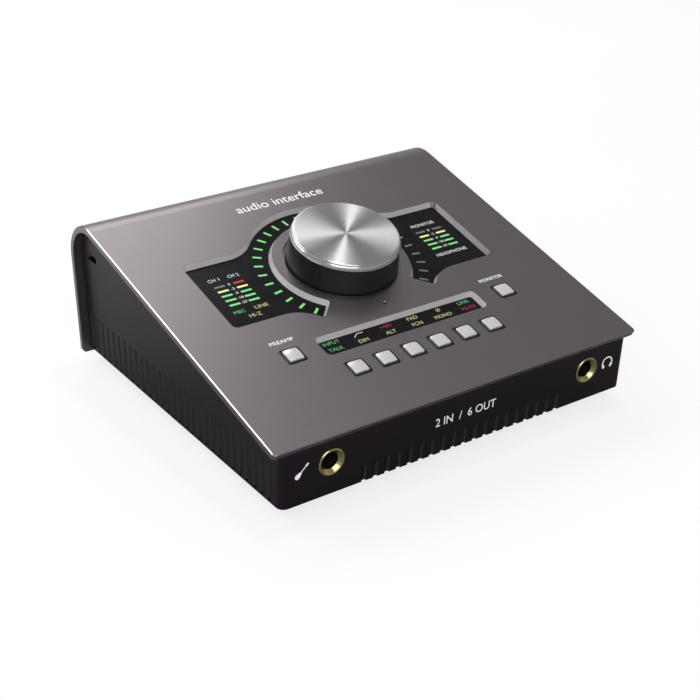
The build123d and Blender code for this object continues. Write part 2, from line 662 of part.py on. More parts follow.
def capacitors():
    places = [(x, y, 5.0, 16.0) for x in (36, 47) for y in (8, 19)]
    places += [(x, y, 3.15, 11.0) for x in (-60, -52, -44) for y in (-20, -12)]
    return group(rod(FLOOR, x, y, r, MAIN_TOP, MAIN_TOP + h) for x, y, r, h in places)


# ---------------------------------------------------------------- front jacks


def jack_nut(x):
    """Gold bushing with a funnel mouth, screwed on the jack's nose."""
    points = (
        (3.25, -0.8), (4.35, 0.4), (4.6, 0.55), (5.0, 0.5), (5.2, 0.3), (5.2, 0.0),
        (4.75, 0.0), (4.75, -4.6), (4.1, -4.6), (4.1, -1.9), (3.25, -1.9),
    )
    return turned(FRONT, x, 0, points)


def jack_body(x):
    """Jack with a threaded nose and a sprung contact slot in its side."""
    body = plate(FRONT, x, 0, 13.0, 10.8, 0.6, -25.5, -CHASSIS_WALL - 2.7)
    body += rod(FRONT, x, 0, 4.05, -CHASSIS_WALL - 3, -1.95)
    body -= rod(FRONT, x, 0, JACK_BORE, -24.5, 0)
    for side in (-1, 1):
        body -= block(FRONT, (x + side * 5.6 - 1.2, x + side * 5.6 + 1.2), (-1.5, 1.5), (-21, -9))
    pins = [(x + dx, y) for dx in (-5, 5) for y in (-62.0, -55.0)]
    leg_z = (MAIN_TOP, JACK_Z - 3.8)
    legs = [block(FLOOR, (px - 0.4, px + 0.4), (y - 0.4, y + 0.4), leg_z) for px, y in pins]
    return union([body, *legs])


# ---------------------------------------------------------------- rear board and connectors
REAR_IN = -SHEET - 0.1  # connector bodies start here
REAR_BACK = REAR_IN - REAR_BODY
SHUTTER_PIVOT = (3.4, -4.6)  # above the socket's middle, and behind the wall's face
POWER_PIVOT = -4.7
ROCKER_TILT = 8.0


def rear_board():
    return block(REAR, (-66, 70), (-11.5, 21), (REAR_BACK - BOARD, REAR_BACK))


def combo_housing(a):
    """Square housing with the round mouth of a microphone connector."""
    body = plate(REAR, a, 0, 26, 27.6, 2, REAR_BACK, REAR_IN) + rod(REAR, a, 0, 11.8, REAR_IN - 1, -0.2)
    body -= rod(REAR, a, 0, 9.8, REAR_IN - 16, 1)
    for k in (-1, 1):
        body -= rod(REAR, a + 9.5 * k, 12 * k, 1.3, REAR_IN - 7, REAR_IN + 1)
    return body


def combo_insert(a):
    """Round insert with three contact holes about a jack's hole."""
    body = rod(REAR, a, 0, 7.6, REAR_IN - 16, -1.2)
    body += rod(REAR, a, 0, 9.75, REAR_IN - 16, REAR_IN - 14)
    body -= rod(REAR, a, 0, JACK_BORE, REAR_IN - 15, 1)
    for turn in (90, 210, 330):
        x, y = ring_point(5.3, turn)
        body -= rod(REAR, a + x, y, 1.3, REAR_IN - 10, 1)
    return body


def line_jack(a, v):
    body = plate(REAR, a, v, 15.5, 15.0, 1, REAR_BACK, REAR_IN) + rod(REAR, a, v, 4.8, REAR_IN - 1, 0.1)
    return body - rod(REAR, a, v, JACK_BORE, REAR_IN - 21, 2)


def optical_socket():
    a, v = OPTICAL
    body = plate(REAR, a, v, 13.5, 13.0, 0.8, REAR_BACK, REAR_IN)
    body += plate(REAR, a, v, 10.8, 10.2, 0.9, REAR_IN - 1, -0.1)
    body -= block(REAR, (a - 4.6, a + 4.6), (v - 4.2, v + 4.2), (REAR_IN - 11, 1))
    body -= rod_across(a, v + SHUTTER_PIVOT[0], SHUTTER_PIVOT[1], 0.55, 11.0)
    return body


def rod_across(a, v, w, radius, length):
    """Rod along X in the rear wall's frame."""
    return REAR * Pos(a, v, w) * Rot(0, 90, 0) * Cylinder(radius, length)


def optical_shutter():
    a, v = OPTICAL
    up, out = v + SHUTTER_PIVOT[0], SHUTTER_PIVOT[1]
    flap = block(REAR, (a - 4.3, a + 4.3), (v - 4.0, up), (out - 0.4, out + 0.4))
    return flap + rod_across(a, up, out, 0.5, 10.6)


def computer_port():
    """Shell of the computer port with its tongue."""
    a, v = PORT
    shell = plate(REAR, a, v, 9.4, 3.6, 1.75, REAR_IN - 9, -0.3)
    shell -= plate(REAR, a, v, 8.6, 2.8, 1.35, REAR_IN - 8, 1)
    tongue = block(REAR, (a - 3.3, a + 3.3), (v - 0.35, v + 0.35), (REAR_IN - 8.5, -1.5))
    return shell + tongue


def port_support():
    """Riser that carries the computer port on the rear board."""
    a, v = PORT
    return block(REAR, (a - 6, a + 6), (v - 4, v + 4), (REAR_BACK, REAR_IN - 9))


def power_inlet():
    a, v = INLET
    body = plate(REAR, a, v, 14.5, 14.5, 1, REAR_BACK, REAR_IN) + rod(REAR, a, v, 6.0, REAR_IN - 1, -0.1)
    body -= rod(REAR, a, v, 4.4, REAR_IN - 9, 1)
    return body + rod(REAR, a, v, 1.05, REAR_IN - 10, -1.5)


def power_switch_body():
    a, v = POWER
    body = plate(REAR, a, v, 17.5, 14.0, 1, REAR_BACK, REAR_IN)
    body += plate(REAR, a, v, 15.0, 11.0, 0.9, REAR_IN - 1, 0.1)
    body -= block(REAR, (a - 6.3, a + 6.3), (v - 4.5, v + 4.5), (REAR_IN - 6, 1))
    return body - REAR * Pos(a, v, POWER_PIVOT) * Rot(90, 0, 0) * Cylinder(0.85, 10.6)


def power_rocker():
    """Rocker with two faces that meet over its pivot, resting on its on side."""
    a, v = POWER
    points = ((-5.6, 3.9), (0, 3.0), (5.6, 3.9), (4.6, 0), (1.8, -1.2), (-1.8, -1.2), (-4.6, 0))
    profile = make_face(Polyline(*points, close=True))
    rocker = extrude(Plane.XZ * profile, 4.25, both=True) + Rot(90, 0, 0) * Cylinder(0.8, 10.2)
    return REAR * Pos(a, v, POWER_PIVOT) * Rot(0, ROCKER_TILT, 0) * rocker


def board_link():
    """Plug and socket strip between the main board and the rear board."""
    along = (MAIN_BOARD_BACK - 6, MAIN_BOARD_BACK - 0.5)
    return block(FLOOR, (-34, 34), along, (MAIN_TOP, MAIN_TOP + 5))


# ---------------------------------------------------------------- nodes
FLANGE_FACE = CHASSIS_GAP + SHEET + 2.0  # lower face of the chassis flanges, below the panel


def pan_screws():
    """Screws of the cover, of the control board and of the main board."""
    cover_set = [pan_screw(PANEL, x, s, -FLANGE_FACE, FLANGE_FACE - 1, 1.2) for x, s in cover_screw_places]
    seat = CONTROL_BOARD_H - BOARD
    control_set = [pan_screw(PANEL, x, s, seat, 5.5, 1.2) for x, s in control_pillars]
    main_set = [pan_screw(UNDER, x, -y, -MAIN_TOP, 5.5, 1.2) for x, y in board_places]
    return group([*cover_set, *control_set, *main_set])


def flush_screws():
    """Countersunk screws of the bottom plate and of the rear wall."""
    bottom_set = [flush_screw(UNDER, x, -y, -PLATE_Z, 4.7, 1.25) for x, y in lug_places]
    return group([*bottom_set, *(flush_screw(REAR, a, v, 0, 4.7, 1.25) for a, v in rear_screw_places)])


def pillars():
    """Round pillars under the panel and hexagonal ones on the bottom plate."""
    upper = [tube(PANEL, x, s, 2.75, 1.25, CONTROL_BOARD_H, -SHEET) for x, s in control_pillars]
    lower = [
        hexagon(FLOOR, x, y, 5.5, PLATE_Z + PLATE, MAIN_BOARD_Z) - rod(FLOOR, x, y, 1.25, 0, 20)
        for x, y in board_places
    ]
    return group([*upper, *lower])


nodes = {
    "top_cover": cover(),
    "chassis_walls": chassis_walls(),
    "bottom_plate": bottom_plate(),
    "rubber_feet": group(rubber_foot(x, y) for x, y in foot_places),
    "pan_screws": pan_screws(),
    "flush_screws": flush_screws(),
    "board_pillars": pillars(),
    "window_lens": lens(KNOB, window_face) - guide_holes,
    "legend_lens": lens(PANEL, strip_face),
    "light_baffles": group([light_baffle(), strip_baffle()]),
    "level_knob_cap": knob_cap(),
    "level_knob_skirt": knob_skirt(),
    "encoder_body": encoder_body(),
    "encoder_rotor": tube(KNOB, 0, 0, 5.5, 3.05, *ROTOR_BAND),
    "encoder_shaft": encoder_shaft(),
    "encoder_nut": encoder_nut(),
    "tact_switches": group(tact_switch(x, s) for x, s in button_places.values()),
    "button_guides": button_guides(),
    "talkback_mic": rod(PANEL, 0, MIC_S, 3.0, -6.2, -SHEET - 0.8),
    "talkback_mic_boot": mic_boot(),
    "control_board": control_board(),
    "board_headers": group([cable_headers(), board_link()]),
    "ribbon_cable": flat_cable(),
    "main_board": main_board(),
    "board_chips": group([box_parts(PROCESSORS, (9.5, 9.5, 1.5)), box_parts(CONVERTERS, (4.5, 4.5, 1.2))]),
    "heat_sink": heat_sink(),
    "relays": box_parts(RELAYS, (5.0, 3.7, 5.6)),
    "capacitors": capacitors(),
    "front_jacks": group([jack_body(-JACK_X), jack_body(JACK_X)]),
    "front_jack_nuts": group([jack_nut(-JACK_X), jack_nut(JACK_X)]),
    "rear_board": rear_board(),
    "combo_housings": group(combo_housing(a) for a in combo_places),
    "combo_inserts": group(combo_insert(a) for a in combo_places),
    "line_jacks": group(line_jack(a, v) for a, v in line_places),
    "optical_socket": optical_socket(),
    "optical_shutter": optical_shutter(),
    "computer_port": group([computer_port(), port_support()]),
    "power_inlet": power_inlet(),
    "power_switch_body": power_switch_body(),
    "power_rocker": power_rocker(),
}
for colour, solids in guides.items():
    nodes[f"light_guides_{colour}"] = solids
for name, (x, s) in button_places.items():
    nodes[f"button_plunger_{name}"] = button_plunger(x, s)
    nodes[f"button_cap_{name}"] = button_cap(x, s)

os.makedirs("parts", exist_ok=True)
for name, shape in nodes.items():
    export_step(shape, f"parts/{name}.step")
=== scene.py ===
import json
from math import cos, pi, radians, sin

import bpy
import bmesh
from mathutils import Matrix, Vector


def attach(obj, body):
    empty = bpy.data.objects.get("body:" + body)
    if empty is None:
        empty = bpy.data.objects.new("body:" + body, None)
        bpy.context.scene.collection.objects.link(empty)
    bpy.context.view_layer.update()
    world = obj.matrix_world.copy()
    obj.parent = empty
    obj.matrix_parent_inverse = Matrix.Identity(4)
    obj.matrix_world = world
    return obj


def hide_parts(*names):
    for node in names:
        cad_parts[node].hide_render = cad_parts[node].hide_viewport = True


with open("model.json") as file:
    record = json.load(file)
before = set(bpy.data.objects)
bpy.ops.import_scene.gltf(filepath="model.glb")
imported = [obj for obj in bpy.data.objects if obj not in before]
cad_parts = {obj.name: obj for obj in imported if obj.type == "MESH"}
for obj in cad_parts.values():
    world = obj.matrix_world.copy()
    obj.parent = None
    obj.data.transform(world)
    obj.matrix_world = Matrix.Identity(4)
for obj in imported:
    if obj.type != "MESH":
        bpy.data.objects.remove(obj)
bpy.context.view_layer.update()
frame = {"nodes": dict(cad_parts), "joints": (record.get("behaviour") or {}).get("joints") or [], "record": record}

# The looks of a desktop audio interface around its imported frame, in metres.
MM = 0.001
record = frame["record"]
joints = {j["name"]: j for j in frame["joints"]}
mounts = {m["name"]: m for m in record["mounts"]}
RIGHT, UP = Vector((1, 0, 0)), Vector((0, 0, 1))

# ---------------------------------------------------------------- frames of the object
KNOB_S = 81.5 * MM  # from the panel's front edge up the slope to the knob's axis


def axes_at(origin, normal):
    """4x4 placement with +Z along the normal and +X to the right."""
    z = Vector(normal).normalized()
    y = z.cross(RIGHT).normalized()
    x = y.cross(z)
    turn = Matrix((x, y, z)).transposed().to_4x4()
    return Matrix.Translation(origin) @ turn


knob_axis = Vector(joints["level_turn"]["axis"]).normalized()
KNOB = axes_at(Vector(joints["level_turn"]["pos_m"]), knob_axis)
PANEL = KNOB @ Matrix.Translation((0, -KNOB_S, 0))
front_mount = mounts["instrument_input"]
front_axis = Vector(front_mount["axis"])
JACK_X = -front_mount["pos_m"][0]
JACK_MIDDLE = Vector(front_mount["pos_m"]) + RIGHT * JACK_X
BORE_MIDDLE_DEPTH = 12.65 * MM  # from the front wall's face to the middle of a jack's bore
FRONT_FACE = JACK_MIDDLE + front_axis * BORE_MIDDLE_DEPTH
FRONT = axes_at(FRONT_FACE, front_axis)

# ---------------------------------------------------------------- material kit


class Nodes:
    """A node material, with short names for the nodes that it is made of."""

    def __init__(self, name, **sockets):
        self.material = bpy.data.materials.new(name)
        self.material.use_nodes = True
        self.tree = self.material.node_tree
        self.shader = next(n for n in self.tree.nodes if n.type == "BSDF_PRINCIPLED")
        for key, value in sockets.items():
            self.set(key.replace("_", " "), value)

    def set(self, socket, value):
        target = self.shader.inputs[socket]
        if isinstance(value, bpy.types.NodeSocket):
            self.tree.links.new(value, target)
        else:
            target.default_value = (*value, 1) if isinstance(value, tuple) and len(value) == 3 else value

    def new(self, kind, inputs=(), **settings):
        made = self.tree.nodes.new("ShaderNode" + kind)
        for key, value in settings.items():
            setattr(made, key, value)
        for key, value in dict(inputs).items():
            if isinstance(value, bpy.types.NodeSocket):
                self.tree.links.new(value, made.inputs[key])
            else:
                made.inputs[key].default_value = value
        return made

    def place(self):
        """Position on the piece, in metres."""
        return self.new("TexCoord").outputs["Object"]

    def noise(self, size, detail=3.0):
        """Cloudy noise, 0 to 1, of one grain size."""
        inputs = {"Vector": self.place(), "Scale": 1 / size, "Detail": detail, "Roughness": 0.55}
        return self.new("TexNoise", inputs).outputs[0]

    def ranged(self, value, low, high, from_low=0.3, from_high=0.7):
        inputs = {"Value": value, "From Min": from_low, "From Max": from_high, "To Min": low, "To Max": high}
        return self.new("MapRange", inputs).outputs[0]

    def ramp(self, value, *stops):
        made = self.new("ValToRGB", {"Fac": value})
        elements = made.color_ramp.elements
        for i, (where, colour) in enumerate(stops):
            stop = elements[i] if i < 2 else elements.new(where)
            stop.position, stop.color = where, (*colour, 1)
        return made.outputs[0]

    def mix(self, factor, a, b):
        made = self.new("Mix", data_type="RGBA")
        for socket, value in ((made.inputs[0], factor), (made.inputs[6], a), (made.inputs[7], b)):
            if isinstance(value, bpy.types.NodeSocket):
                self.tree.links.new(value, socket)
            else:
                socket.default_value = (*value, 1) if isinstance(value, tuple) else value
        return made.outputs[2]

    def math(self, operation, *values):
        made = self.new("Math", operation=operation)
        for i, value in enumerate(values):
            if isinstance(value, bpy.types.NodeSocket):
                self.tree.links.new(value, made.inputs[i])
            else:
                made.inputs[i].default_value = value
        return made.outputs[0]

    def bump(self, height, distance, strength):
        inputs = {"Height": height, "Distance": distance, "Strength": strength}
        self.set("Normal", self.new("Bump", inputs).outputs[0])

    def grain(self, size, distance, strength):
        self.bump(self.noise(size), distance, strength)


def shade(tone, factor):
    return tuple(c * factor for c in tone)


def moulded(name, tone, rough=0.45):
    """Moulded plastic: fine spark texture, faint mottling and uneven gloss."""
    m = Nodes(name)
    m.set("Base Color", m.ramp(m.noise(6 * MM), (0.3, shade(tone, 0.85)), (0.7, shade(tone, 1.15))))
    m.set("Roughness", m.ranged(m.noise(3 * MM), rough - 0.06, rough + 0.06))
    m.grain(0.35 * MM, 0.02 * MM, 0.35)
    return m.material


def metal(name, tone, rough=0.3, size=0.2 * MM):
    """Plated or machined metal with fine tool marks."""
    m = Nodes(name, Metallic=1.0)
    m.set("Base Color", m.ramp(m.noise(4 * MM), (0.3, shade(tone, 0.9)), (0.7, shade(tone, 1.0))))
    m.set("Roughness", m.ranged(m.noise(size), rough - 0.07, rough + 0.07))
    m.grain(size, 0.01 * MM, 0.3)
    return m.material


def silver(name, tone):
    """Satin silver lacquer on moulded caps."""
    m = Nodes(name, Metallic=0.3, Specular_IOR_Level=0.9)
    m.set("Base Color", m.ramp(m.noise(2 * MM), (0.3, shade(tone, 0.95)), (0.7, tone)))
    m.set("Roughness", m.ranged(m.noise(0.2 * MM), 0.17, 0.22))
    m.grain(0.15 * MM, 0.004 * MM, 0.2)
    return m.material


def along(m, where, axis):
    """Distance of a point from the frame's origin along one of its axes, 0 to 2."""
    direction = where.to_3x3().col[axis]
    dot = m.new("VectorMath", operation="DOT_PRODUCT")
    m.tree.links.new(m.place(), dot.inputs[0])
    dot.inputs[1].default_value = direction
    return m.math("SUBTRACT", dot.outputs["Value"], where.translation.dot(direction))


def inside(m, value, low, high):
    """1 where a value lies between two limits, else 0."""
    above = m.math("GREATER_THAN", value, low)
    return m.math("MULTIPLY", above, m.math("LESS_THAN", value, high))


# Where the cover is bright cut and painted lighter as a highlight, from the knob's axis along the panel and from
# its face down; window walls right of WINDOW_RIGHT get no painted highlight.
WINDOW_REACH = (24 * MM, 64 * MM)
WINDOW_SLOPE = (-27 * MM, 40 * MM)
WINDOW_RIGHT = 57 * MM
STRIP_HALF_WIDTH = 38 * MM
STRIP_SLOPE = (-48 * MM, -34 * MM)
SLANT_HEIGHT = (-2.45 * MM, -0.05 * MM)
EDGE_START = 79.66 * MM
EDGE_HEIGHT = (-0.43 * MM, -0.02 * MM)


def anodised(name, tone, bright):
    """Bead-blasted, dark anodised aluminium, bright cut on the side edges and round the windows, with a painted
    highlight there.
    """
    m = Nodes(name)
    x, s, h = (along(m, KNOB, axis) for axis in range(3))
    reach = m.math("SQRT", m.math("ADD", m.math("MULTIPLY", x, x), m.math("MULTIPLY", s, s)))
    window = m.math("MULTIPLY", inside(m, reach, *WINDOW_REACH), inside(m, s, *WINDOW_SLOPE))
    window = m.math("MULTIPLY", window, m.math("LESS_THAN", x, WINDOW_RIGHT))
    across = inside(m, x, -STRIP_HALF_WIDTH, STRIP_HALF_WIDTH)
    strip = m.math("MULTIPLY", across, inside(m, s, *STRIP_SLOPE))
    slants = m.math("MULTIPLY", m.math("MAXIMUM", window, strip), inside(m, h, *SLANT_HEIGHT))
    side = m.math("GREATER_THAN", m.math("ABSOLUTE", x), EDGE_START)
    edges = m.math("MULTIPLY", side, inside(m, h, *EDGE_HEIGHT))
    dark = m.ramp(m.noise(9 * MM, 2), (0.3, shade(tone, 0.985)), (0.7, shade(tone, 1.015)))
    # Painted highlight: a lighter, less metallic colour on the window walls and side edge chamfers, standing in
    # for light that falls on them.
    light = m.ramp(m.noise(1 * MM, 2), (0.3, shade(bright, 0.94)), (0.7, shade(bright, 1.0)))
    m.set("Base Color", m.mix(m.math("MAXIMUM", slants, edges), dark, light))
    m.set("Metallic", m.ranged(slants, 0.94, 0.25, 0.0, 1.0))
    m.set("Roughness", m.ranged(m.noise(0.5 * MM), 0.31, 0.36))
    m.grain(0.16 * MM, 0.006 * MM, 0.35)
    return m.material


SIDE_WALL = 74.8 * MM  # beyond this the chassis is its side walls
SIDE_SLOTS = (-68 * MM, 70 * MM)
FRONT_SLOTS_END = 50 * MM
FACING = 0.9  # how squarely a face must look along an axis


def slot_sides(m):
    """1 on the cut sides of the chassis slots, where the coat is painted lighter as painted light, else 0."""
    where = m.new("SeparateXYZ", {"Vector": m.place()}).outputs
    facing = m.new("SeparateXYZ", {"Vector": m.new("NewGeometry").outputs["True Normal"]}).outputs
    x, across, back = (m.math("ABSOLUTE", v) for v in (where["X"], facing["X"], facing["Y"]))
    along_y, along_x = (m.math("GREATER_THAN", v, FACING) for v in (back, across))
    side = m.math("MULTIPLY", along_y, m.math("GREATER_THAN", x, SIDE_WALL))
    side = m.math("MULTIPLY", side, inside(m, where["Y"], *SIDE_SLOTS))
    front = m.math("MULTIPLY", along_x, m.math("LESS_THAN", x, FRONT_SLOTS_END))
    return m.math("MAXIMUM", side, front)


def powder_coat(name, tone, painted_light_mask=None):
    """Fine powder coat with a slight orange peel; where a mask says so it is painted lighter, as painted light."""
    m = Nodes(name, Specular_IOR_Level=0.5, Specular_Tint=(1.0, 0.68, 1.0))
    coat = m.ramp(m.noise(5 * MM), (0.3, shade(tone, 0.85)), (0.7, shade(tone, 1.15)))
    # Painted light: the masked faces take a lighter grey, which stands in for light reaching into the slots.
    m.set("Base Color", m.mix(painted_light_mask(m), coat, SLOT_PAINTED_LIGHT) if painted_light_mask else coat)
    m.set("Roughness", m.ranged(m.noise(1.2 * MM), 0.32, 0.40))
    m.bump(m.noise(0.45 * MM, 2), 0.03 * MM, 0.3)
    return m.material


def smoked(name):
    """Smoked acrylic with the faintest haze."""
    m = Nodes(name, IOR=1.49, Specular_IOR_Level=0.06)
    haze = m.ramp(m.noise(7 * MM), (0.3, (0.0145, 0.0138, 0.0156)), (0.7, (0.0185, 0.0175, 0.0198)))
    m.set("Base Color", haze)
    m.set("Roughness", m.ranged(m.noise(2.5 * MM), 0.16, 0.22))
    m.bump(m.noise(12 * MM, 1), 0.01 * MM, 0.1)
    return m.material


def lit(name, tone, strength):
    """Lit end of a light guide, very slightly uneven."""
    m = Nodes(name, Emission_Strength=strength, Roughness=0.4)
    m.set("Base Color", m.ramp(m.noise(1.5 * MM), (0.3, shade(tone, 0.5)), (0.7, shade(tone, 0.6))))
    m.set("Emission Color", m.ramp(m.noise(1.2 * MM), (0.25, shade(tone, 0.8)), (0.75, tone)))
    return m.material


def ink(name, tone, strength=0.0):
    """Screen-printed or back-lit legend; a glow on screen-printed ink is painted light."""
    m = Nodes(name, Emission_Strength=strength)
    m.set("Base Color", m.ramp(m.noise(0.4 * MM), (0.3, shade(tone, 0.9)), (0.7, tone)))
    if strength:
        m.set("Emission Color", m.ramp(m.noise(0.8 * MM), (0.3, shade(tone, 0.85)), (0.7, tone)))
    m.set("Roughness", m.ranged(m.noise(0.3 * MM), 0.45, 0.6))
    return m.material


def rubber(name, tone):
    m = Nodes(name)
    m.set("Base Color", m.ramp(m.noise(2 * MM), (0.3, shade(tone, 0.8)), (0.7, shade(tone, 1.3))))
    m.set("Roughness", m.ranged(m.noise(1 * MM), 0.7, 0.85))
    m.grain(0.25 * MM, 0.03 * MM, 0.4)
    return m.material


def circuit(name):
    """Green solder mask, darker along fine lines of copper."""
    m = Nodes(name, Coat_Weight=0.4, Coat_Roughness=0.2)
    tracks = m.new("TexBrick", {"Vector": m.place(), "Scale": 260.0, "Mortar Size": 0.03}).outputs[1]
    m.set("Base Color", m.ramp(tracks, (0.0, (0.006, 0.05, 0.02)), (1.0, (0.02, 0.11, 0.04))))
    m.set("Roughness", m.ranged(m.noise(2 * MM), 0.3, 0.45))
    m.bump(tracks, 0.03 * MM, 0.3)
    return m.material


SPACE_GREY = (0.30, 0.270, 0.292)
# Bright cut tone, lightened as a painted highlight.
BRIGHT_CUT_AND_HIGHLIGHT = (0.77, 0.735, 0.76)
BLACK = (0.0065, 0.0065, 0.0075)
COAT_BLACK = (0.0055, 0.0053, 0.0068)
# Lighter grey painted on the cut sides of the chassis slots, as painted light.
SLOT_PAINTED_LIGHT = (0.10, 0.10, 0.115)
GREEN, YELLOW, RED = (0.16, 0.53, 0.18), (0.76, 0.74, 0.28), (0.40, 0.03, 0.045)
PALE_GREEN, PALE_YELLOW, DIM_RED = (0.10, 0.42, 0.15), (0.52, 0.50, 0.24), (0.30, 0.015, 0.04)

materials = {
    "cover_aluminium": anodised("cover_aluminium", SPACE_GREY, BRIGHT_CUT_AND_HIGHLIGHT),
    "chassis_black": powder_coat("chassis_black", COAT_BLACK, slot_sides),
    "bottom_black": powder_coat("bottom_black", COAT_BLACK),
    "foot_rubber": rubber("foot_rubber", (0.012, 0.012, 0.012)),
    "plated_steel": metal("plated_steel", (0.6, 0.6, 0.6)),
    "black_steel": metal("black_steel", (0.06, 0.06, 0.06), 0.4),
    "pillar_metal": metal("pillar_metal", (0.7, 0.7, 0.7)),
    "smoked_lens": smoked("smoked_lens"),
    "baffle_black": moulded("baffle_black", BLACK),
    "light_green": lit("light_green", GREEN, 1.1),
    "light_yellow": lit("light_yellow", YELLOW, 0.9),
    "light_red": lit("light_red", RED, 0.9),
    "light_off": moulded("light_off", (0.22, 0.21, 0.22), 0.35),
    "spun_aluminium": metal("spun_aluminium", (0.75, 0.75, 0.76), 0.25),
    "knob_black": moulded("knob_black", (0.012, 0.012, 0.012), 0.36),
    "encoder_grey": moulded("encoder_grey", (0.06, 0.06, 0.06)),
    "encoder_steel": metal("encoder_steel", (0.6, 0.6, 0.6)),
    "switch_black": moulded("switch_black", (0.02, 0.02, 0.02)),
    "button_rim": moulded("button_rim", (0.012, 0.011, 0.012), 0.25),
    "button_silver": silver("button_silver", (1.0, 0.98, 1.0)),
    "microphone": metal("microphone", (0.6, 0.6, 0.6)),
    "mic_rubber": rubber("mic_rubber", (0.02, 0.02, 0.02)),
    "circuit_board": circuit("circuit_board"),
    "header_black": moulded("header_black", (0.02, 0.02, 0.02)),
    "cable_grey": moulded("cable_grey", (0.3, 0.3, 0.31)),
    "chip_black": moulded("chip_black", (0.015, 0.015, 0.015)),
    "heat_sink_black": metal("heat_sink_black", (0.03, 0.03, 0.03), 0.4),
    "relay_plastic": moulded("relay_plastic", (0.5, 0.5, 0.47)),
    "capacitor_can": metal("capacitor_can", (0.04, 0.04, 0.1), 0.3),
    "jack_black": moulded("jack_black", (0.012, 0.012, 0.012)),
    "gold_plate": metal("gold_plate", (0.68, 0.60, 0.29), 0.2, 0.15 * MM),
    "rear_plastic": moulded("rear_plastic", (0.015, 0.015, 0.015), 0.4),
    "port_steel": metal("port_steel", (0.6, 0.6, 0.6)),
    "rocker_plastic": moulded("rocker_plastic", (0.015, 0.015, 0.015), 0.25),
}
for entry in record["subparts"]:
    piece = frame["nodes"][entry["node"]]
    piece.data.materials.clear()
    piece.data.materials.append(materials[entry["material_slot"]])

# ---------------------------------------------------------------- legends
INK_HEIGHT = 0.03 * MM
# The white and panel inks are screen-printed, so their glow is painted light; the lit inks are back-lit.
inks = {
    "white": ink("ink_white_painted_glow", (0.95, 0.95, 0.96), 0.35),
    "panel": ink("ink_panel_painted_glow", (0.95, 0.95, 0.96), 0.42),
    "lit_white": ink("lit_white", (0.62, 0.61, 0.65), 0.65),
    "green": ink("lit_legend_green", PALE_GREEN, 0.5),
    "yellow": ink("lit_legend_yellow", PALE_YELLOW, 0.5),
    "red": ink("lit_legend_red", DIM_RED, 0.6),
}


def placed(piece, where, body="housing"):
    piece.matrix_world = where
    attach(piece, body)
    return piece


def label(name, words, colour, frame_at, x, y, z, height, width=None):
    """Plain lettering centred on a point of a frame, with a cap height and, where given, a width."""
    data = bpy.data.curves.new(name, "FONT")
    data.body = words
    data.align_x, data.align_y = "CENTER", "CENTER"
    data.extrude = INK_HEIGHT / 2
    data.resolution_u = 3
    piece = bpy.data.objects.new(name, data)
    bpy.context.scene.collection.objects.link(piece)
    bpy.context.view_layer.update()
    tall = piece.dimensions.y
    data.size = height / tall
    bpy.context.view_layer.update()
    squeeze = width / piece.dimensions.x if width else 1.0
    data.materials.append(inks[colour])
    where = frame_at @ Matrix.Translation((x, y, z)) @ Matrix.Diagonal((squeeze, 1, 1, 1))
    placed(piece, where)
    return piece


LENS = -2.0 * MM + INK_HEIGHT / 2
SKIN = INK_HEIGHT / 2

COLUMN_X = 46.15 * MM  # middle of each meter window
for side, words in ((-1, ("CH 1", "CH 2")), (1, ("MONITOR",))):
    for i, word in enumerate(words):
        shift = (i - (len(words) - 1) / 2) * 8.1 * MM
        width = (4.7 if len(words) > 1 else 11.2) * MM
        name = "heading_" + word.replace(" ", "").lower()
        label(name, word, "lit_white", KNOB, side * COLUMN_X + shift, 9.8 * MM, LENS, 1.75 * MM, width)
    for row, number in zip(range(2, -3, -1), ("0", "-3", "-9", "-18", "-27")):
        name = "scale_" + ("left_" if side < 0 else "right_") + number.replace("-", "minus_")
        label(name, number, "lit_white", KNOB, side * COLUMN_X, row * 2.83 * MM, LENS, 1.35 * MM)
label("source_mic", "MIC", "green", KNOB, -50.9 * MM, -10.1 * MM, LENS, 1.75 * MM, 4.6 * MM)
label("source_line", "LINE", "yellow", KNOB, -41.7 * MM, -10.1 * MM, LENS, 1.75 * MM, 5.4 * MM)
label("source_hiz", "HI-Z", "yellow", KNOB, -46.35 * MM, -13.7 * MM, LENS, 1.75 * MM, 5.0 * MM)
label("source_headphone", "HEADPHONE", "lit_white", KNOB, COLUMN_X, -10.1 * MM, LENS, 1.75 * MM, 14.5 * MM)

FUNCTIONS = (
    (("INPUT", "green"), None, ("+48V", "red"), ("PAD", "yellow"), ("Ø", "yellow"), ("LINK", "green")),
    (
        ("TALK", "green"), ("DIM", "yellow"), ("ALT", "yellow"),
        ("FCN", "yellow"), ("MONO", "yellow"), ("MUTE", "red"),
    ),
)
for row, legends in enumerate(FUNCTIONS):
    for i, legend in enumerate(legends):
        if legend:
            name = f"function_{row + 1}_{i + 1}"
            x, s = (i - 2.5) * 12 * MM, (42.8 - 3.5 * row) * MM
            label(name, legend[0], legend[1], PANEL, x, s, LENS, 1.75 * MM)
label("label_preamp", "PREAMP", "panel", PANEL, -47.5 * MM, 48.7 * MM, SKIN, 1.75 * MM, 9.7 * MM)
label("label_monitor", "MONITOR", "panel", PANEL, 47.5 * MM, 48.7 * MM, SKIN, 1.75 * MM, 11.1 * MM)
label("label_title", "audio interface", "panel", PANEL, -1.0 * MM, 125.3 * MM, SKIN, 4.6 * MM, 40.0 * MM)
label("label_front", "2 IN  /  6 OUT", "white", FRONT, 0, 0, SKIN, 3.3 * MM, 27.0 * MM)

# ---------------------------------------------------------------- icons


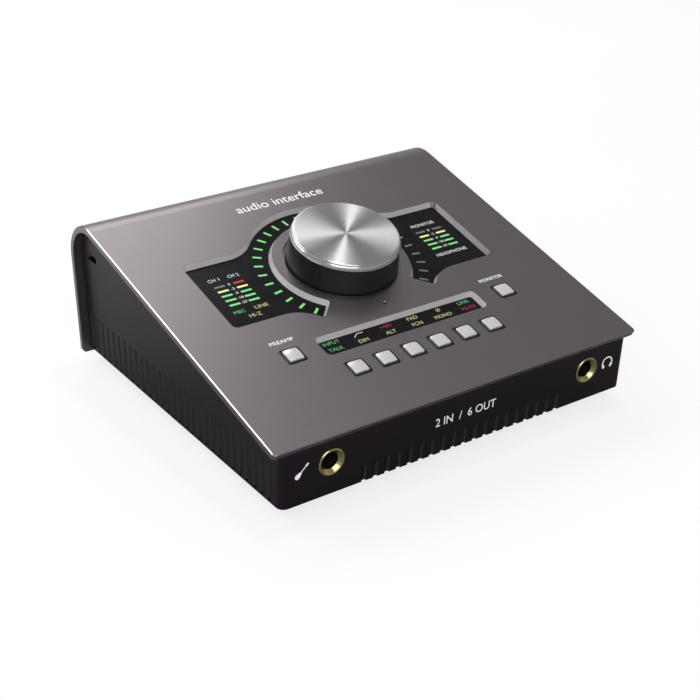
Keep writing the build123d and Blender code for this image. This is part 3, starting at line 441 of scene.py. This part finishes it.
def raised(name, outlines, colour, where):
    """Flat printed shapes of one thickness, from closed outlines in metres."""
    shape = bmesh.new()
    for outline in outlines:
        low = [shape.verts.new((x, y, -INK_HEIGHT / 2)) for x, y in outline]
        high = [shape.verts.new((x, y, INK_HEIGHT / 2)) for x, y in outline]
        shape.faces.new(high)
        shape.faces.new(low[::-1])
        for i in range(len(low)):
            j = (i + 1) % len(low)
            shape.faces.new((low[i], low[j], high[j], high[i]))
    bmesh.ops.recalc_face_normals(shape, faces=shape.faces)
    mesh = bpy.data.meshes.new(name)
    shape.to_mesh(mesh)
    shape.free()
    mesh.materials.append(inks[colour])
    piece = bpy.data.objects.new(name, mesh)
    bpy.context.scene.collection.objects.link(piece)
    placed(piece, where)
    return piece


def band(path, width):
    """Outline of a stroke of one width along a path."""
    left, right = [], []
    for i, point in enumerate(path):
        before, after = path[max(0, i - 1)], path[min(len(path) - 1, i + 1)]
        heading = Vector((after[0] - before[0], after[1] - before[1])).normalized()
        side = Vector((-heading.y, heading.x)) * width / 2
        left.append((point[0] + side.x, point[1] + side.y))
        right.append((point[0] - side.x, point[1] - side.y))
    return left + right[::-1]


def arc(cx, cy, rx, ry, start, stop, count=24, turn=0.0):
    points = []
    for i in range(count + 1):
        t = radians(start + (stop - start) * i / count)
        x, y = rx * cos(t), ry * sin(t)
        points.append((cx + x * cos(turn) - y * sin(turn), cy + x * sin(turn) + y * cos(turn)))
    return points


def scaled(outlines):
    return [[(x * MM, y * MM) for x, y in outline] for outline in outlines]


lean = radians(45)
guitar = [
    arc(-1.5, -1.3, 1.1, 1.0, 0, 345, 28, lean),
    arc(-0.7, -0.5, 0.72, 0.66, 0, 345, 20, lean),
    [(-0.6, -1.05), (0.1, -0.6), (-0.35, -0.4)],
    [(-1.2, -0.4), (-0.75, 0.2), (-0.6, -0.1)],
    band([(-0.5, -0.3), (2.0, 2.2)], 0.42),
    band([(1.8, 2.0), (2.25, 2.45), (2.7, 2.85)], 0.75),
]
headphones = [
    band(arc(0, 0, 2.35, 2.2, -25, 205), 0.55),
    band([(-2.2, -0.75), (-1.55, -2.15)], 1.05),
    band([(2.2, -0.75), (1.55, -2.15)], 1.05),
]
low_cut = [band([(-2.3, -0.9), (-1.6, -0.15), (-0.9, 0.4), (-0.1, 0.7), (2.3, 0.75)], 0.28)]
guitar_place = FRONT @ Matrix.Translation((-68.9 * MM, 0, SKIN))
raised("icon_guitar", scaled(guitar), "white", guitar_place)
headphone_place = FRONT @ Matrix.Translation((67.9 * MM, 0, SKIN))
raised("icon_headphones", scaled(headphones), "white", headphone_place)
low_cut_place = PANEL @ Matrix.Translation((-18 * MM, 42.8 * MM, LENS))
raised("icon_low_cut", scaled(low_cut), "lit_white", low_cut_place)

# ---------------------------------------------------------------- spun knob cap
CAP_TOP, CAP_DEPTH = 12.6 * MM, 2.5 * MM
CAP_RIM = ((20.2, 0), (20.45, 0.1), (20.6, 0.35), (20.7, 0.7), (20.64, 0.8), (20.85, 0.95), (21.25, 2.5))
CAP_STEPS = 192


def cap_profile():
    """Radius and height from the middle of the top face, over the stepped rim, and back under."""
    flat = CAP_RIM[0][0]
    points = [(flat * MM * i / 24, CAP_TOP) for i in range(1, 24)]
    points += [(radius * MM, CAP_TOP - depth * MM) for radius, depth in CAP_RIM]
    radius = CAP_RIM[-1][0] * MM
    return points + [(radius * k, CAP_TOP - CAP_DEPTH) for k in (0.99, 0.9, 0.5, 0.1)]


def spun_cap():
    shape = bmesh.new()
    profile = cap_profile()
    spin = shape.loops.layers.uv.new("spin")
    turns = [2 * pi * i / CAP_STEPS for i in range(CAP_STEPS)]
    rings = [[shape.verts.new((r * cos(t), r * sin(t), h)) for t in turns] for r, h in profile]
    top, foot = shape.verts.new((0, 0, CAP_TOP)), shape.verts.new((0, 0, CAP_TOP - CAP_DEPTH))

    def face(verts, uvs):
        made = shape.faces.new(verts)
        made.smooth = True
        for loop, uv in zip(made.loops, uvs):
            loop[spin].uv = uv

    count = len(profile) + 1
    for i in range(CAP_STEPS):
        j, u0, u1 = (i + 1) % CAP_STEPS, i / CAP_STEPS, (i + 1) / CAP_STEPS
        face((top, rings[0][i], rings[0][j]), ((0, (u0 + u1) / 2), (1 / count, u0), (1 / count, u1)))
        for k in range(len(rings) - 1):
            a, b = (k + 1) / count, (k + 2) / count
            quad = (rings[k][i], rings[k + 1][i], rings[k + 1][j], rings[k][j])
            face(quad, ((a, u0), (b, u0), (b, u1), (a, u1)))
        last = rings[-1]
        face((last[j], last[i], foot), ((1 - 1 / count, u1), (1 - 1 / count, u0), (1, (u0 + u1) / 2)))
    bmesh.ops.recalc_face_normals(shape, faces=shape.faces)
    mesh = bpy.data.meshes.new("spun_knob_cap")
    shape.to_mesh(mesh)
    shape.free()
    mesh.set_sharp_from_angle(angle=radians(40))
    return mesh


def spun_metal():
    """Aluminium turned with a fine circular cut: rings in gloss and height about the local axis."""
    m = Nodes("spun_metal", Metallic=1.0)
    split = m.new("SeparateXYZ", {"Vector": m.place()}).outputs
    squares = (m.math("MULTIPLY", across, across) for across in (split[0], split[1]))
    radius = m.math("SQRT", m.math("ADD", *squares))
    rings = m.new("CombineXYZ", {"X": m.math("ADD", radius, m.math("MULTIPLY", split[2], 0.7))}).outputs[0]
    fine = m.new("TexNoise", {"Vector": rings, "Scale": 14000.0, "Detail": 3.0}).outputs[0]
    broad = m.new("TexNoise", {"Vector": rings, "Scale": 900.0, "Detail": 2.0}).outputs[0]
    face = m.math("LESS_THAN", radius, CAP_RIM[0][0] * MM)
    m.set("Base Color", m.ramp(broad, (0.3, (0.73, 0.72, 0.74)), (0.7, (0.76, 0.75, 0.77))))
    m.set("Anisotropic", m.ranged(face, 0.5, 0.97, 0.0, 1.0))
    turned = m.ranged(fine, 0.34, 0.40)
    m.set("Roughness", m.math("MULTIPLY", turned, m.ranged(face, 0.5, 1.0, 0.0, 1.0)))
    m.set("Normal", m.new("Bump", {"Height": fine, "Distance": 0.004 * MM, "Strength": 0.25}).outputs[0])
    m.set("Tangent", m.new("Tangent", direction_type="UV_MAP", uv_map="spin").outputs[0])
    return m.material


cap = bpy.data.objects.new("spun_knob_cap", spun_cap())
bpy.context.scene.collection.objects.link(cap)
cap.data.materials.append(spun_metal())
placed(cap, KNOB, "level_knob")
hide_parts("level_knob_cap")

# ---------------------------------------------------------------- stage, light and camera
FLOOR_GLOW = 0.77  # what the white sweep shows of itself, apart from what it reflects
POOL_SIDE = (-0.35, 0.94, 0)  # from the object towards the painted pool of light


def stage_material():
    """Pale matt floor on a white sweep, with a painted pool of light behind and to the left that glows in
    reflections only.
    """
    m = Nodes("stage_floor", Specular_IOR_Level=0.0)
    m.set("Base Color", m.ramp(m.noise(0.4, 2), (0.3, (0.285, 0.285, 0.285)), (0.7, (0.30, 0.30, 0.30))))
    m.set("Roughness", m.ranged(m.noise(0.05, 2), 0.6, 0.7))
    path = m.new("LightPath").outputs
    towards = m.new("VectorMath", operation="DOT_PRODUCT")
    m.tree.links.new(m.place(), towards.inputs[0])
    towards.inputs[1].default_value = POOL_SIDE
    # Painted pool of light: a glow seen only by glossy rays, growing away from the object.
    pool = m.ranged(towards.outputs["Value"], 0.0, 0.5, 0.05, 0.28)
    glow = m.math("MULTIPLY", path["Is Camera Ray"], FLOOR_GLOW)
    m.set("Emission Color", (1.0, 1.0, 1.0))
    m.set("Emission Strength", m.math("ADD", glow, m.math("MULTIPLY", path["Is Glossy Ray"], pool)))
    return m.material


def stage_floor():
    size = 6.0
    mesh = bpy.data.meshes.new("floor")
    corners = [(x * size, y * size, 0) for x, y in ((-1, -1), (1, -1), (1, 1), (-1, 1))]
    mesh.from_pydata(corners, [], [(0, 1, 2, 3)])
    mesh.materials.append(stage_material())
    floor = bpy.data.objects.new("floor", mesh)
    bpy.context.scene.collection.objects.link(floor)


SUBJECT = (0, 0, 0.04)


def softbox(name, place, target, width, height, radiance):
    """Rectangular lamp that faces its target, as bright all over as its radiance."""
    data = bpy.data.lights.new(name, "AREA")
    data.shape, data.size, data.size_y = "RECTANGLE", width, height
    data.energy = radiance * pi * width * height
    lamp = bpy.data.objects.new(name, data)
    bpy.context.scene.collection.objects.link(lamp)
    lamp.location = place
    lamp.rotation_euler = (Vector(target) - Vector(place)).to_track_quat("-Z", "Y").to_euler()
    return lamp


def studio_world():
    """Grey room, lighter low down, that the camera itself sees as white."""
    world = bpy.data.worlds.new("studio")
    bpy.context.scene.world = world
    world.use_nodes = True
    tree = world.node_tree
    paths = tree.nodes.new("ShaderNodeLightPath")
    where = tree.nodes.new("ShaderNodeTexCoord")
    split = tree.nodes.new("ShaderNodeSeparateXYZ")
    ramp = tree.nodes.new("ShaderNodeValToRGB")
    seen = tree.nodes.new("ShaderNodeMix")
    seen.data_type = "RGBA"
    tree.links.new(where.outputs["Generated"], split.inputs[0])
    tree.links.new(split.outputs["Z"], ramp.inputs["Fac"])
    stops = ((0.0, 0.45), (0.3, 0.33), (0.7, 0.23), (1.0, 0.26))
    for i, (place, level) in enumerate(stops):
        stop = ramp.color_ramp.elements[i] if i < 2 else ramp.color_ramp.elements.new(place)
        stop.position, stop.color = place, (level, level, level, 1)
    tree.links.new(paths.outputs["Is Camera Ray"], seen.inputs[0])
    tree.links.new(ramp.outputs[0], seen.inputs[6])
    seen.inputs[7].default_value = (1.4, 1.4, 1.4, 1)
    tree.links.new(seen.outputs[2], tree.nodes["Background"].inputs["Color"])


AZIMUTH, ELEVATION, ROLL = radians(-34.883), radians(27.515), radians(0.356)
DISTANCE, LENS_LENGTH, SENSOR = 0.50771, 72.95, 36.0
TARGET = Vector((-0.02299, -0.03414, 0.03370))


def studio_camera():
    back = Vector((sin(AZIMUTH) * cos(ELEVATION), -cos(AZIMUTH) * cos(ELEVATION), sin(ELEVATION)))
    right = UP.cross(back).normalized()
    up = back.cross(right)
    tilted_right = right * cos(ROLL) + up * sin(ROLL)
    tilted_up = up * cos(ROLL) - right * sin(ROLL)
    data = bpy.data.cameras.new("camera")
    data.lens, data.sensor_width, data.clip_start = LENS_LENGTH, SENSOR, 0.01
    camera = bpy.data.objects.new("camera", data)
    bpy.context.scene.collection.objects.link(camera)
    turn = Matrix((tilted_right, tilted_up, back)).transposed().to_4x4()
    camera.matrix_world = Matrix.Translation(TARGET + back * DISTANCE) @ turn
    bpy.context.scene.camera = camera


stage_floor()
studio_world()
studio_camera()
softbox("back_softbox", (0.28, 1.05, 0.98), SUBJECT, 0.8, 0.8, 1.92)
softbox("back_left_softbox", (-0.35, 1.02, 0.98), SUBJECT, 0.6, 0.8, 1.8)
softbox("left_softbox", (-0.88, 0.80, 0.80), SUBJECT, 0.8, 0.6, 2.5)
softbox("top_spot", (0.235, 0.06, 1.235), SUBJECT, 0.11, 0.11, 38)
softbox("key_softbox", (-0.6, -1.2, 1.0), SUBJECT, 1.4, 1.0, 2.1)
bpy.context.scene.view_settings.view_transform = "Standard"
